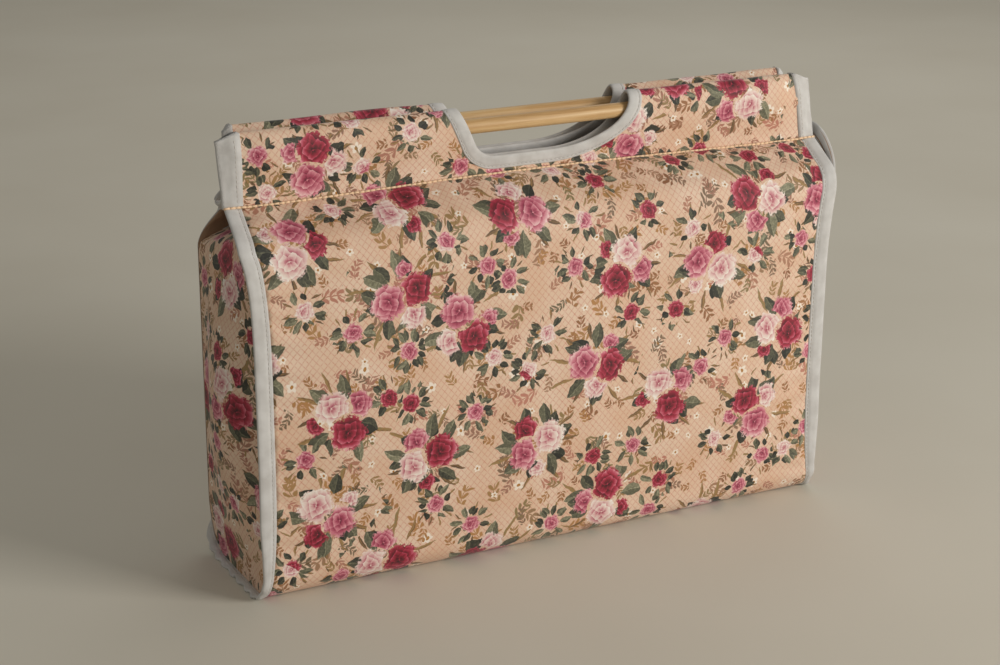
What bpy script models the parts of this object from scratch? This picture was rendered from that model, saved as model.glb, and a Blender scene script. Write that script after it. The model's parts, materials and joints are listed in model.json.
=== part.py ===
# Knitting bag: a sewn cloth bag carried by two wooden dowels in cloth casings.
# Metres, +Z up. The front faces -Y and the base stands on Z = 0.

import math

import bmesh
import bpy
from mathutils import Vector

# Bag body
bag_width = 0.420  # between the two end seams, at the fold
bag_depth = 0.100  # front wall to back wall
fold_height = 0.235  # where the walls fold in towards the handles
base_radius = 0.018  # roll of the walls under the base
seam_waist = 0.007  # how far each end seam draws in at half height
wall_swell = 0.006  # how far the front and back walls stand out
gusset_swell = 0.014  # how far the end gussets stand out
cloth_thickness = 0.0016  # printed cotton and its lining
seam_gap = 0.0004  # clearance between sewn pieces

# Flaps, from the fold up to the stitch line under each handle
flap_rise = 0.0195  # height of the stitch line above the fold
flap_crown = 0.001  # how far a flap stands out between its two fold lines
flap_inset = 0.005  # how much shorter each end is at the stitch line
fold_gap = 0.0018  # cloth left free on each side of a fold line

# Dowels
dowel_diameter = 0.010
dowel_drop = 0.0125  # from the top of the casing down to the dowel's axis
dowel_clearance = 0.001  # between a dowel and its casing
dowel_end_room = 0.0015  # between a dowel's end and the flattened cloth
dowel_chamfer = 0.0008

# Casings
casing_height = 0.047  # from the stitch line to the top
casing_wall = 0.0012  # one layer of printed cotton
casing_hem = 0.0032  # the two layers where they are stitched together
casing_taper = 0.0145  # length over which each end flattens
casing_lean = 0.0019  # how far each handle leans in over its hem
mouth_gap = 0.0058  # between the two handles

# Grips, scooped out of the casings
grip_width = 0.123  # clear opening at the top of the casing
grip_shift = 0.0062  # from the bag's middle to the middle of the opening
grip_slope = 0.44  # how far the steep side leans out for its height
grip_rise = 0.0055  # from the stitch line to the grip's binding
grip_radius = 0.0175  # corner of the clear opening under its steep side
bowl_width = 0.0577  # half width of the oval that sweeps up the other side

# White cotton bindings
tape_width = 0.010
tape_thickness = 0.0026
tape_lift = 0.0004  # how far a binding stands proud of the cloth
tape_round = 0.0006
floor_gap = 0.0003  # the end bindings stay this far off the floor

# Tops of the gussets
hem_width = 0.006
hem_drop = 0.005  # from the fold down to the ends of the hem
hem_room = 0.0075  # from the stitch line down to the middle of the right hem
tuck_arch = 0.010  # rise of the left hem between its ends
tuck_depth = 0.018  # how far the top of the left gusset folds in
spread_depth = 0.0085  # how far the top of the right gusset stands out
turn_length = 0.028  # length over which a gusset's top turns in or out

# Facets
wall_columns = 16
wall_rows = 8
arc_steps = 7
gusset_columns = 10
gusset_rows = 9
side_steps = 7
top_steps = 8
taper_steps = 4
casing_steps = 14
corner_steps = 7
bowl_steps = 11
dowel_sides = 24

# Places that follow from the sizes
half_width = bag_width / 2
half_depth = bag_depth / 2
stitch_height = fold_height + flap_rise
casing_top = stitch_height + casing_height
casing_foot = stitch_height + fold_gap
casing_half = dowel_diameter / 2 + dowel_clearance + casing_wall
casing_offset = mouth_gap / 2 + tape_lift + casing_half
casing_end = half_width - flap_inset
stitch_offset = casing_offset + casing_lean + casing_hem / 2
dowel_height = casing_top - dowel_drop
dowel_length = 2 * (casing_end - casing_taper - dowel_end_room)
grip_floor = stitch_height + grip_rise
grip_lean = math.atan(grip_slope)
bowl_centre = grip_shift + grip_width / 2 - bowl_width
flap_run = Vector((0, half_depth - stitch_offset, flap_rise))
flap_normal = Vector((0, -flap_run.z, flap_run.y)).normalized()
spread_arch = hem_drop + flap_rise - hem_room


def smooth(value):
    value = min(max(value, 0), 1)
    return value * value * (3 - 2 * value)


def seam_half_width(height):
    """Half the bag's width at a height, drawn in between base and fold."""
    share = min(max(height / fold_height, 0), 1)
    return half_width - seam_waist * (1 - (2 * share - 1) ** 4)


def make_material(name, colour, roughness):
    material = bpy.data.materials.new(name)
    material.use_nodes = True
    shader = material.node_tree.nodes["Principled BSDF"]
    shader.inputs["Base Color"].default_value = (*colour, 1)
    shader.inputs["Roughness"].default_value = roughness
    shader.inputs["Metallic"].default_value = 0
    return material


def make_empty(name, parent=None, location=(0, 0, 0), turn=0):
    empty = bpy.data.objects.new(name, None)
    empty.location = location
    empty.rotation_euler.z = turn
    empty.parent = parent
    part_collection.objects.link(empty)
    return empty


def add_piece(name, mesh, material, parent, pivot=(0, 0, 0)):
    """Put a mesh, drawn in its side's frame, under an empty that stands at the pivot."""
    piece = bpy.data.objects.new(name, mesh)
    piece.parent = parent
    piece.location = -Vector(pivot)
    mesh.materials.append(material)
    part_collection.objects.link(piece)
    return piece


def draw_sheet(name, columns, rows, place):
    """A grid of cloth whose points are placed by their shares across and along it."""
    form = bmesh.new()
    bmesh.ops.create_grid(form, x_segments=columns, y_segments=rows, size=1)
    for vert in form.verts:
        vert.co = place((vert.co.x + 1) / 2, (vert.co.y + 1) / 2)
    bmesh.ops.remove_doubles(form, verts=form.verts, dist=0.00001)
    mesh = bpy.data.meshes.new(name)
    form.to_mesh(mesh)
    form.free()
    return mesh


def thicken(piece, thickness, offset=-1):
    solidify = piece.modifiers.new("thickness", "SOLIDIFY")
    solidify.thickness = thickness
    solidify.offset = offset
    solidify.use_even_offset = True


def round_edges(piece, width):
    bevel = piece.modifiers.new("rounding", "BEVEL")
    bevel.width = width
    bevel.segments = 1
    bevel.limit_method = "ANGLE"
    bevel.angle_limit = math.radians(50)


def cut(piece, cutter, operation):
    boolean = piece.modifiers.new(operation.lower(), "BOOLEAN")
    boolean.operation = operation
    boolean.object = cutter


def pick(points, share):
    return points[round(share * (len(points) - 1))]


def base_arc(radius):
    """Points of the roll from the wall down to the base, as (depth, height)."""
    points = []
    for step in range(arc_steps + 1):
        angle = math.pi / 2 * step / arc_steps
        depth = half_depth - base_radius + radius * math.cos(angle)
        points.append((depth, base_radius - radius * math.sin(angle)))
    return points


# Front and back walls, and the base between them

def add_wall(side, frame):
    low = base_radius + seam_gap
    high = fold_height - fold_gap

    def place(across, along):
        height = low + along * (high - low)
        share = (height - base_radius) / (fold_height - base_radius)
        reach = 2 * across - 1
        swell = wall_swell * (1 - reach ** 2) * math.sin(math.pi * share) ** 2
        return Vector((reach * seam_half_width(height), -half_depth - swell, height))

    mesh = draw_sheet(side + "_wall", wall_columns, wall_rows, place)
    thicken(add_piece(side + "_wall", mesh, print_cotton, frame), cloth_thickness)


def add_base(frame):
    arc = base_arc(base_radius)
    front = [(-depth, height) for depth, height in reversed(arc)]
    path = arc + [(0, 0)] + front

    def place(across, along):
        depth, height = pick(path, along)
        return Vector(((2 * across - 1) * seam_half_width(height), depth, height))

    mesh = draw_sheet("base", wall_columns, len(path) - 1, place)
    thicken(add_piece("base", mesh, print_cotton, frame), cloth_thickness)


# End gussets with their hems

def hem_height(reach, arch):
    return fold_height - hem_drop + arch * (1 - reach ** 2)


def gusset_point(reach, depth, height, arch, turn):
    """A point on the outside of a gusset; turn is how far its top leans out."""
    slack = (1 - reach ** 2) ** 2
    swell = gusset_swell * slack * math.sin(math.pi * min(height / fold_height, 1)) ** 2
    top = hem_height(reach, arch)
    lean = turn * slack * smooth((height - top + turn_length) / turn_length)
    return Vector((-seam_half_width(height) - swell - lean, -reach * depth, height))


def add_gusset(side, frame, arch, turn):
    inset = cloth_thickness + seam_gap
    arc = list(reversed(base_arc(base_radius - inset)))
    rows = arc_steps + gusset_rows

    def place_gusset(across, along):
        reach = 2 * across - 1
        row = round(along * rows)
        if row <= arc_steps:
            depth, height = arc[row]
        else:
            depth = half_depth - inset
            top = hem_height(reach, arch) - hem_width - seam_gap
            height = base_radius + (row - arc_steps) / gusset_rows * (top - base_radius)
        return gusset_point(reach, depth, height, arch, turn)

    def place_hem(across, along):
        reach = 2 * across - 1
        height = hem_height(reach, arch) - hem_width * (1 - along)
        point = gusset_point(reach, half_depth - inset, height, arch, turn)
        return point - Vector((tape_lift, 0, 0))

    mesh = draw_sheet(side + "_gusset", gusset_columns, rows, place_gusset)
    thicken(add_piece(side + "_gusset", mesh, print_cotton, frame), cloth_thickness)
    mesh = draw_sheet(side + "_gusset_hem", gusset_columns, 1, place_hem)
    thicken(add_piece(side + "_gusset_hem", mesh, white_cotton, frame), cloth_thickness + tape_lift)


def add_seam_binding(side, frame):
    arc = base_arc(base_radius - floor_gap)
    wall = [(half_depth - floor_gap, fold_height - fold_gap)]
    for step in range(1, wall_rows):
        height = wall[0][1] + step / wall_rows * (base_radius - wall[0][1])
        wall.append((half_depth - floor_gap, height))
    half_path = wall + arc + [(0, floor_gap)]
    path = [(-depth, height) for depth, height in half_path[:-1]] + list(reversed(half_path))

    def place(across, along):
        depth, height = pick(path, along)
        reach = seam_half_width(height) + seam_gap + across * (tape_width - seam_gap)
        return Vector((-reach, depth, height))

    mesh = draw_sheet(side + "_seam_binding", 1, len(path) - 1, place)
    piece = add_piece(side + "_seam_binding", mesh, white_cotton, frame)
    thicken(piece, tape_thickness)
    round_edges(piece, tape_round)


# Flaps with their end bindings

def flap_point(reach, along, lift):
    length = flap_run.length
    share = (fold_gap + along * (length - 2 * fold_gap)) / length
    rise = lift + flap_crown * 4 * share * (1 - share)
    point = Vector((reach, -half_depth, fold_height)) + flap_run * share
    return point + flap_normal * rise


def flap_half_width(along):
    return half_width - flap_inset * along


def add_flap(side, hinge, pivot):
    def place(across, along):
        return flap_point((2 * across - 1) * flap_half_width(along), along, 0)

    mesh = draw_sheet(side + "_flap", wall_columns, 4, place)
    thicken(add_piece(side + "_flap", mesh, print_cotton, hinge, pivot), cloth_thickness)


def add_flap_binding(name, hinge, pivot, sign):
    def place(across, along):
        along = along if sign > 0 else 1 - along
        reach = flap_half_width(along) + seam_gap + across * (tape_width - seam_gap)
        return flap_point(sign * reach, along, tape_lift)

    mesh = draw_sheet(name, 1, 4, place)
    piece = add_piece(name, mesh, white_cotton, hinge, pivot)
    thicken(piece, tape_thickness)
    round_edges(piece, tape_round)


# Handle casings with their grips and bindings

def casing_middle(height):
    """Depth of a casing's middle, which leans in from the stitch line to the dowel."""
    share = min((height - casing_foot) / (dowel_height - casing_foot), 1)
    return -casing_offset - casing_lean * (1 - share)


def casing_section(half, hem):
    """Closed outline of a casing, up its front, over the top and down its back."""
    front = []
    for step in range(side_steps + 1):
        share = step / side_steps
        height = casing_foot + share * (dowel_height - casing_foot)
        swell = (1 - math.cos(math.pi * share)) / 2
        front.append((-hem - (half - hem) * swell, height))
    top = []
    for step in range(1, top_steps):
        angle = math.pi * step / top_steps
        top.append((-half * math.cos(angle), dowel_height + dowel_drop * math.sin(angle)))
    back = [(-offset, height) for offset, height in reversed(front)]
    return front + top + back


def draw_casing(name, stations, lift):
    """The tunnel of a casing through stations along X, flattened towards the handle's ends."""
    hem = casing_hem / 2
    count = len(casing_section(casing_half, hem))

    def place(across, along):
        x = pick(stations, 1 - along)
        flat = smooth((abs(x) - casing_end + casing_taper) / casing_taper)
        half = hem + (casing_half - hem) * (1 - flat)
        offset, height = casing_section(half + lift, hem + lift)[round(across * count) % count]
        return Vector((x, casing_middle(height) + offset, height))

    return draw_sheet(name, count, len(stations) - 1, place)


def casing_stations():
    inner = casing_end - casing_taper
    middle = [inner * (2 * step / casing_steps - 1) for step in range(casing_steps + 1)]
    end = [inner + casing_taper * step / taper_steps for step in range(1, taper_steps + 1)]
    return [-x for x in reversed(end)] + middle + end


def grip_side(height, inset):
    """Distance of the grip's steep side from the bag's middle."""
    reach = grip_width / 2 - grip_shift + (height - casing_top) * grip_slope
    return reach - (inset - tape_width) / math.cos(grip_lean)


def grip_outline(inset, steep_sign):
    """Outline of a grip as (x, height), drawn in by the inset from its binding's outer edge."""
    outer_radius = grip_radius + tape_width
    centre_height = grip_floor + outer_radius
    centre = grip_side(centre_height, outer_radius)
    radius = outer_radius - inset
    above = casing_top + tape_width
    points = [(-grip_side(above, inset), above)]
    for step in range(corner_steps + 1):
        angle = math.pi + grip_lean + (math.pi / 2 - grip_lean) * step / corner_steps
        points.append((radius * math.cos(angle) - centre, centre_height + radius * math.sin(angle)))
    wide = bowl_width + tape_width - inset
    deep = casing_top - grip_floor - inset
    for step in range(bowl_steps + 1):
        angle = math.pi / 2 * (step / bowl_steps - 1)
        points.append((bowl_centre + wide * math.cos(angle), casing_top + deep * math.sin(angle)))
    points.append((bowl_centre + wide, above))
    return [(-steep_sign * x, height) for x, height in points]


def make_cutter(name, outline, hinge, pivot):
    """A plate of the outline's shape, standing across one handle."""
    curve = bpy.data.curves.new(name, "CURVE")
    curve.dimensions = "2D"
    curve.fill_mode = "BOTH"
    curve.extrude = casing_offset
    spline = curve.splines.new("POLY")
    spline.points.add(len(outline) - 1)
    spline.use_cyclic_u = True
    for point, (x, height) in zip(spline.points, outline):
        point.co = (x, height, 0, 1)
    drawing = bpy.data.objects.new(name + "_outline", curve)
    drawing.rotation_euler.x = math.pi / 2
    drawing.location = Vector((0, -casing_offset, 0)) - Vector(pivot)
    drawing.parent = hinge
    cutter_collection.objects.link(drawing)
    bpy.context.view_layer.update()
    evaluated = drawing.evaluated_get(bpy.context.evaluated_depsgraph_get())
    mesh = bpy.data.meshes.new_from_object(evaluated)
    form = bmesh.new()
    form.from_mesh(mesh)
    bmesh.ops.remove_doubles(form, verts=form.verts, dist=0.00001)
    bmesh.ops.recalc_face_normals(form, faces=form.faces)
    form.to_mesh(mesh)
    form.free()
    cutter = bpy.data.objects.new(name, mesh)
    cutter.matrix_world = drawing.matrix_world
    cutter.hide_render = True
    cutter.display_type = "WIRE"
    cutter_collection.objects.link(cutter)
    bpy.data.objects.remove(drawing)
    return cutter


def add_casing(side, hinge, pivot, steep_sign):
    mesh = draw_casing(side + "_casing", casing_stations(), 0)
    piece = add_piece(side + "_casing", mesh, print_cotton, hinge, pivot)
    thicken(piece, casing_wall)
    cutter = make_cutter(side + "_scoop", grip_outline(-seam_gap, steep_sign), hinge, pivot)
    cut(piece, cutter, "DIFFERENCE")


def add_grip_binding(side, hinge, pivot, steep_sign):
    reach = grip_width / 2 + abs(grip_shift) + 2 * tape_width
    stations = [reach * (2 * step / casing_steps - 1) for step in range(casing_steps + 1)]
    mesh = draw_casing(side + "_grip_binding", stations, tape_lift)
    piece = add_piece(side + "_grip_binding", mesh, white_cotton, hinge, pivot)
    thicken(piece, casing_wall + 2 * tape_lift)
    outer = make_cutter(side + "_grip_edge", grip_outline(0, steep_sign), hinge, pivot)
    inner = make_cutter(side + "_grip_opening", grip_outline(tape_width, steep_sign), hinge, pivot)
    cut(piece, outer, "INTERSECT")
    cut(piece, inner, "DIFFERENCE")


def add_end_binding(name, hinge, pivot, sign):
    def place(across, along):
        across = across if sign > 0 else 1 - across
        reach = casing_end + seam_gap + across * (tape_width - seam_gap)
        height = casing_foot + along * (casing_top - casing_foot)
        return Vector((sign * reach, casing_middle(height), height))

    mesh = draw_sheet(name, 1, 4, place)
    piece = add_piece(name, mesh, white_cotton, hinge, pivot)
    thicken(piece, casing_hem + 2 * tape_lift, offset=0)
    round_edges(piece, tape_round)


def add_dowel(side, spindle):
    form = bmesh.new()
    bmesh.ops.create_cone(form, cap_ends=True, segments=dowel_sides, depth=dowel_length,
                          radius1=dowel_diameter / 2, radius2=dowel_diameter / 2)
    mesh = bpy.data.meshes.new(side + "_dowel")
    form.to_mesh(mesh)
    form.free()
    dowel = add_piece(side + "_dowel", mesh, pale_wood, spindle)
    dowel.rotation_euler.y = math.pi / 2
    round_edges(dowel, dowel_chamfer)
    mesh.shade_smooth()
    mesh.set_sharp_from_angle(angle=math.radians(40))


# Both sides: a wall, a flap hinged at the fold, a handle hinged at the stitch line, a dowel

def add_side(side, turn, steep_sign):
    """One side in its own frame; both grips have their steep side towards the left gusset."""
    frame = make_empty(side + "_frame", bag_frame, turn=turn)
    fold = (0, -half_depth, fold_height)
    stitch = (0, -stitch_offset, stitch_height)
    axis = (0, -casing_offset, dowel_height)
    flap_hinge = make_empty(side + "_flap_hinge", frame, fold)
    handle_hinge = make_empty(side + "_handle_hinge", flap_hinge, Vector(stitch) - Vector(fold))
    spindle = make_empty(side + "_dowel_axis", handle_hinge, Vector(axis) - Vector(stitch))
    bpy.context.view_layer.update()
    add_wall(side, frame)
    add_flap(side, flap_hinge, fold)
    add_casing(side, handle_hinge, stitch, steep_sign)
    add_grip_binding(side, handle_hinge, stitch, steep_sign)
    add_dowel(side, spindle)
    for sign in (-1, 1):
        end = "left" if (sign < 0) == (side == "front") else "right"
        add_flap_binding(f"{side}_{end}_flap_binding", flap_hinge, fold, sign)
        add_end_binding(f"{side}_{end}_casing_binding", handle_hinge, stitch, sign)


def add_ends():
    ends = (("left", 0, tuck_arch, -tuck_depth), ("right", math.pi, spread_arch, spread_depth))
    for side, turn, arch, lean in ends:
        frame = make_empty(side + "_frame", bag_frame, turn=turn)
        add_gusset(side, frame, arch, lean)
        add_seam_binding(side, frame)


for old in list(bpy.data.objects):
    bpy.data.objects.remove(old)
part_collection = bpy.data.collections.new("knitting_bag")
cutter_collection = bpy.data.collections.new("cutters")
bpy.context.scene.collection.children.link(part_collection)
bpy.context.scene.collection.children.link(cutter_collection)
print_cotton = make_material("peach print cotton", (0.72, 0.44, 0.26), 0.75)
white_cotton = make_material("white cotton tape", (0.78, 0.76, 0.74), 0.85)
pale_wood = make_material("pale dowel wood", (0.64, 0.45, 0.25), 0.55)
bag_frame = make_empty("bag_frame")
add_base(bag_frame)
add_ends()
add_side("front", 0, -1)
add_side("back", math.pi, 1)
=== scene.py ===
import json
from functools import partial
from math import asin, atan, atan2, cos, dist, exp, pi, radians, sin, sqrt, tan

import bmesh
import bpy
from mathutils import Matrix, Vector, noise


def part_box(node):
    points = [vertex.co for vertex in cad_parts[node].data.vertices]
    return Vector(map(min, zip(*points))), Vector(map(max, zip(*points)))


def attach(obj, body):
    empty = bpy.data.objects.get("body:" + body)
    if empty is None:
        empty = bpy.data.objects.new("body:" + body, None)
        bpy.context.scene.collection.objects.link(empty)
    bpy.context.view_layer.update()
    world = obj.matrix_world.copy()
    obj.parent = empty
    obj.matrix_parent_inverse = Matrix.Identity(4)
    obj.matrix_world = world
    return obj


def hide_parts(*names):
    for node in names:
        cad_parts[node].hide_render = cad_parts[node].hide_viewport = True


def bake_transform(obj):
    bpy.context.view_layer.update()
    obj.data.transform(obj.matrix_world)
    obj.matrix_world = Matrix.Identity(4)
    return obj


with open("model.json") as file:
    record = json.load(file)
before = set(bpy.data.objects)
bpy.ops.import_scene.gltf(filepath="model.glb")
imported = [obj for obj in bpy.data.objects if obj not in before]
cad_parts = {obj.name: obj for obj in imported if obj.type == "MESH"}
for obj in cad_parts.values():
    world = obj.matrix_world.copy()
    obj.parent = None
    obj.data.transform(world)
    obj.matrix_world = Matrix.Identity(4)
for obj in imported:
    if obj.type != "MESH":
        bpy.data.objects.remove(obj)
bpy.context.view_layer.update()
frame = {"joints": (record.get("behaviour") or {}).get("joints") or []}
scene = bpy.context.scene
print("frame loaded")

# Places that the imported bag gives, in metres. Depth is measured outwards from the middle plane.
places = {joint["name"]: Vector(joint["pos_m"]) for joint in frame["joints"]}
_, halfDepth, foldHeight = places["back_flap_fold"]
_, stitchDepth, stitchHeight = places["back_handle_fold"]
_, dowelDepth, dowelHeight = places["back_dowel_turn"]
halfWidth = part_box("base")[1].x
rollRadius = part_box("base")[1].z
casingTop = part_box("front_casing")[1].z
sideSign = {"front": -1, "back": 1}
endSign = {"left": -1, "right": 1}


def clamp(share):
    return min(max(share, 0), 1)


def smooth(share):
    share = clamp(share)
    return share * share * (3 - 2 * share)


def mix(first, second, share):
    return first + (second - first) * share


def evenShares(count):
    return [step / count for step in range(count + 1)]


def ripple(x, y, size, seed):
    return noise.noise(Vector((x / size, y / size, seed * 7.31)))


# Mesh helpers

def addGrid(form, columns, rows, place, flip=False):
    # a grid placed by its shares across and along, with a map in metres
    verts = bmesh.ops.create_grid(form, x_segments=columns, y_segments=rows, size=1)["verts"]
    clothMap = form.loops.layers.uv.verify()
    flat = {}
    for vert in verts:
        vert.co, flat[vert] = place((vert.co.x + 1) / 2, (vert.co.y + 1) / 2)
    faces = list({face for vert in verts for face in vert.link_faces})
    for face in faces:
        face.smooth = True
        for loop in face.loops:
            loop[clothMap].uv = flat[loop.vert]
    if flip:
        bmesh.ops.reverse_faces(form, faces=faces)
    return verts


def addBand(form, stations, section, closed, flip):
    # a tape: each station turns an inset and a lift, in metres, into a point
    rows = len(stations) if closed else len(stations) - 1
    count = len(section)
    lengths = [0]
    for first, second in zip(stations, stations[1:] + stations[:1]):
        lengths.append(lengths[-1] + (second(0, 0) - first(0, 0)).length)
    around = [0]
    for first, second in zip(section, section[1:] + section[:1]):
        around.append(around[-1] + dist(first, second))

    def place(across, along):
        point = round(across * count)
        row = round(along * rows)
        inset, lift = section[point % count]
        return stations[row % len(stations)](inset, lift), (lengths[row], around[point])

    verts = addGrid(form, count, rows, place, flip)
    bmesh.ops.remove_doubles(form, verts=verts, dist=0.000001)
    if not closed:
        edges = [edge for edge in form.edges if edge.is_boundary]
        bmesh.ops.holes_fill(form, edges=edges, sides=0)


def addStitches(form, points, thread, material):
    # one small lens of thread for each stitch, laid along a line of points
    steps = [(second - first).length for first, second in zip(points, points[1:])]
    total = sum(steps)
    count = int(total / thread["pitch"])
    ends = []
    for index in range(count * 2):
        share = index // 2 + 0.5 + (index % 2 - 0.5) * thread["cover"]
        goal = share * total / count
        step = 0
        while step < len(steps) - 1 and goal > steps[step]:
            goal -= steps[step]
            step += 1
        ends.append(points[step].lerp(points[step + 1], min(goal / steps[step], 1)))
    row = bmesh.new()
    for first, second in zip(ends[::2], ends[1::2]):
        turn = (second - first).to_track_quat("Z", "Y")
        scale = Vector((thread["radius"], thread["radius"], (second - first).length / 2))
        bmesh.ops.create_uvsphere(row, u_segments=6, v_segments=4, radius=1,
                                  matrix=Matrix.LocRotScale((first + second) / 2, turn, scale))
    for face in row.faces:
        face.material_index = material
        face.smooth = True
    mesh = bpy.data.meshes.new("stitches")
    row.to_mesh(mesh)
    row.free()
    form.from_mesh(mesh)
    bpy.data.meshes.remove(mesh)


def addObject(name, data):
    thing = bpy.data.objects.new(name, data)
    scene.collection.objects.link(thing)
    return thing


def addPiece(name, form, *materials):
    mesh = bpy.data.meshes.new(name)
    form.to_mesh(mesh)
    form.free()
    for material in materials:
        mesh.materials.append(material)
    return addObject(name, mesh)


def thicken(piece, thickness):
    # cloth to its lining: the second material shows inside and on the cut edge
    solidify = piece.modifiers.new("cloth thickness", "SOLIDIFY")
    solidify.thickness = thickness
    solidify.offset = -1
    solidify.material_offset = 1
    solidify.material_offset_rim = 1


# Materials

def hexColour(code):
    channels = [int(code[place:place + 2], 16) / 255 for place in (1, 3, 5)]
    return (*[c / 12.92 if c <= 0.04045 else ((c + 0.055) / 1.055) ** 2.4 for c in channels], 1)


def addNode(tree, kind, *inputs, out=0, stops=None, **settings):
    # kind may end in an operation; inputs are links or plain values, in order or by name
    kind, _, operation = kind.partition(".")
    node = tree.nodes.new("ShaderNode" + kind)
    if operation:
        node.operation = operation
    for name in settings:
        if hasattr(node, name):
            setattr(node, name, settings[name])
    feeds = list(zip(node.inputs, inputs))
    feeds += [(node.inputs[name], settings[name]) for name in settings if not hasattr(node, name)]
    for socket, value in feeds:
        if isinstance(value, bpy.types.NodeSocket):
            tree.links.new(value, socket)
        else:
            socket.default_value = value
    if stops:
        ramp = node.color_ramp.elements
        ramp[0].position = stops[0][0]
        ramp[1].position = stops[-1][0]
        for place, _ in stops[1:-1]:
            ramp.new(place)
        for stop, (_, colour) in zip(ramp, stops):
            stop.color = hexColour(colour)
    return node.outputs[out]


def newMaterial(name, roughness, sheen=0):
    material = bpy.data.materials.new(name)
    material.use_nodes = True
    shader = material.node_tree.nodes["Principled BSDF"]
    shader.inputs["Roughness"].default_value = roughness
    shader.inputs["Sheen Weight"].default_value = sheen
    return material, partial(addNode, material.node_tree)


def dress(material, colour, height=None, depth=0):
    # feeds a colour and the height of a fine relief to the material's shader
    tree = material.node_tree
    inputs = tree.nodes["Principled BSDF"].inputs
    tree.links.new(colour, inputs["Base Color"])
    if height:
        relief = addNode(tree, "Bump", Strength=1.0, Distance=depth, Height=height)
        tree.links.new(relief, inputs["Normal"])
    return material


def readMap(node):
    # the cloth's own map, in millimetres
    return node("VectorMath.MULTIPLY", node("UVMap"), (1000, 1000, 0))


chintz = {  # in millimetres
    "bouquet": 76,  # cells of the scatters, from the largest motifs to the smallest
    "bud": 34,
    "spray": 24,
    "sprig": 15.5,
    "sprayGrowth": 1.5,  # how much larger a spray is drawn than a sprig
    "leaflets": 3.3,  # pitch of the pairs on a sprig
    "budRadius": 7.0,
    "budReach": 16.0,  # of its leaves
    "clear": 31,  # no bud this near the middle of a bouquet
    "wander": 3.4,  # unevenness of the drawing
    "petal": 4.4,  # of the largest roses
    "lie": 0.42,  # turn of the scatter on the cloth
    "hatch": 3.6,  # spacing of the lines on the ground
    "hatchLean": 0.73,
    "weave": 0.9,  # about three times the real yarn's, which is too fine to draw
}
weaveRelief = 0.00003
roses = (  # place in its bouquet, radius, and palette
    ((13, 12), 7.0, 0),
    ((-3, -14), 10.5, 1),
    ((10, -3), 13.0, 2),
    ((-9, 5), 13.5, 0),
)
rosePalettes = (  # crimson, pink and blush, from the folds to the rims
    ((0, "#33060f"), (0.28, "#760f24"), (0.55, "#a8233f"), (0.8, "#cb5f75"), (1, "#e6a3aa")),
    ((0, "#6d1c34"), (0.28, "#ab425d"), (0.55, "#d27f8f"), (0.8, "#e8b4b8"), (1, "#f3d8d3")),
    ((0, "#a33f56"), (0.22, "#cc8890"), (0.45, "#e4c1bc"), (0.75, "#f1e3da"), (1, "#f7f1ea")),
)
leafShades = ((0, "#14150e"), (0.3, "#34352a"), (0.6, "#676650"), (0.85, "#98957a"), (1, "#c3bda5"))
twigShades = ((0, "#4d3a28"), (0.35, "#7a5d3c"), (0.65, "#a5814f"), (1, "#7d7a56"))
sprigShades = ((0, "#8a5a3c"), (0.3, "#b5834e"), (0.55, "#86774f"), (0.8, "#bf7f6c"), (1, "#6a6249"))
groundShades = ((0.3, "#dfbda1"), (0.7, "#e7ccb5"))
leafRings = (  # from the lowest layer up: count, start, length, half width, share left out, shades
    (11, 18, 19, 1.3, 0.2, twigShades),
    (7, 14, 17, 4.6, 0.35, leafShades),
    (8, 12, 19, 4.4, 0.3, leafShades),
)


def drawScatter(node, point, size, randomness):
    # a loose scatter: the way from each middle, turned by chance, then the middle and the chances
    cell = node("TexVoronoi", point, Scale=1 / size, Randomness=randomness,
                voronoi_dimensions="2D", out="Color")
    middle = cell.node.outputs["Position"]
    chances = node("SeparateColor", cell).node.outputs
    turn = node("Math.MULTIPLY", chances[0], 2 * pi)
    return node("VectorRotate", node("VectorMath.SUBTRACT", point, middle), Angle=turn), middle, chances


def drawPolar(node, spot):
    x, y, _ = node("SeparateXYZ", spot).node.outputs
    return node("VectorMath.LENGTH", spot, out="Value"), node("Math.ARCTAN2", y, x)


def drawCover(node, room, distance, sharp):
    # covers what lies within the room, with a soft edge
    return node("Math.MULTIPLY_ADD", node("Math.SUBTRACT", room, distance), sharp, 0.5, use_clamp=True)


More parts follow.
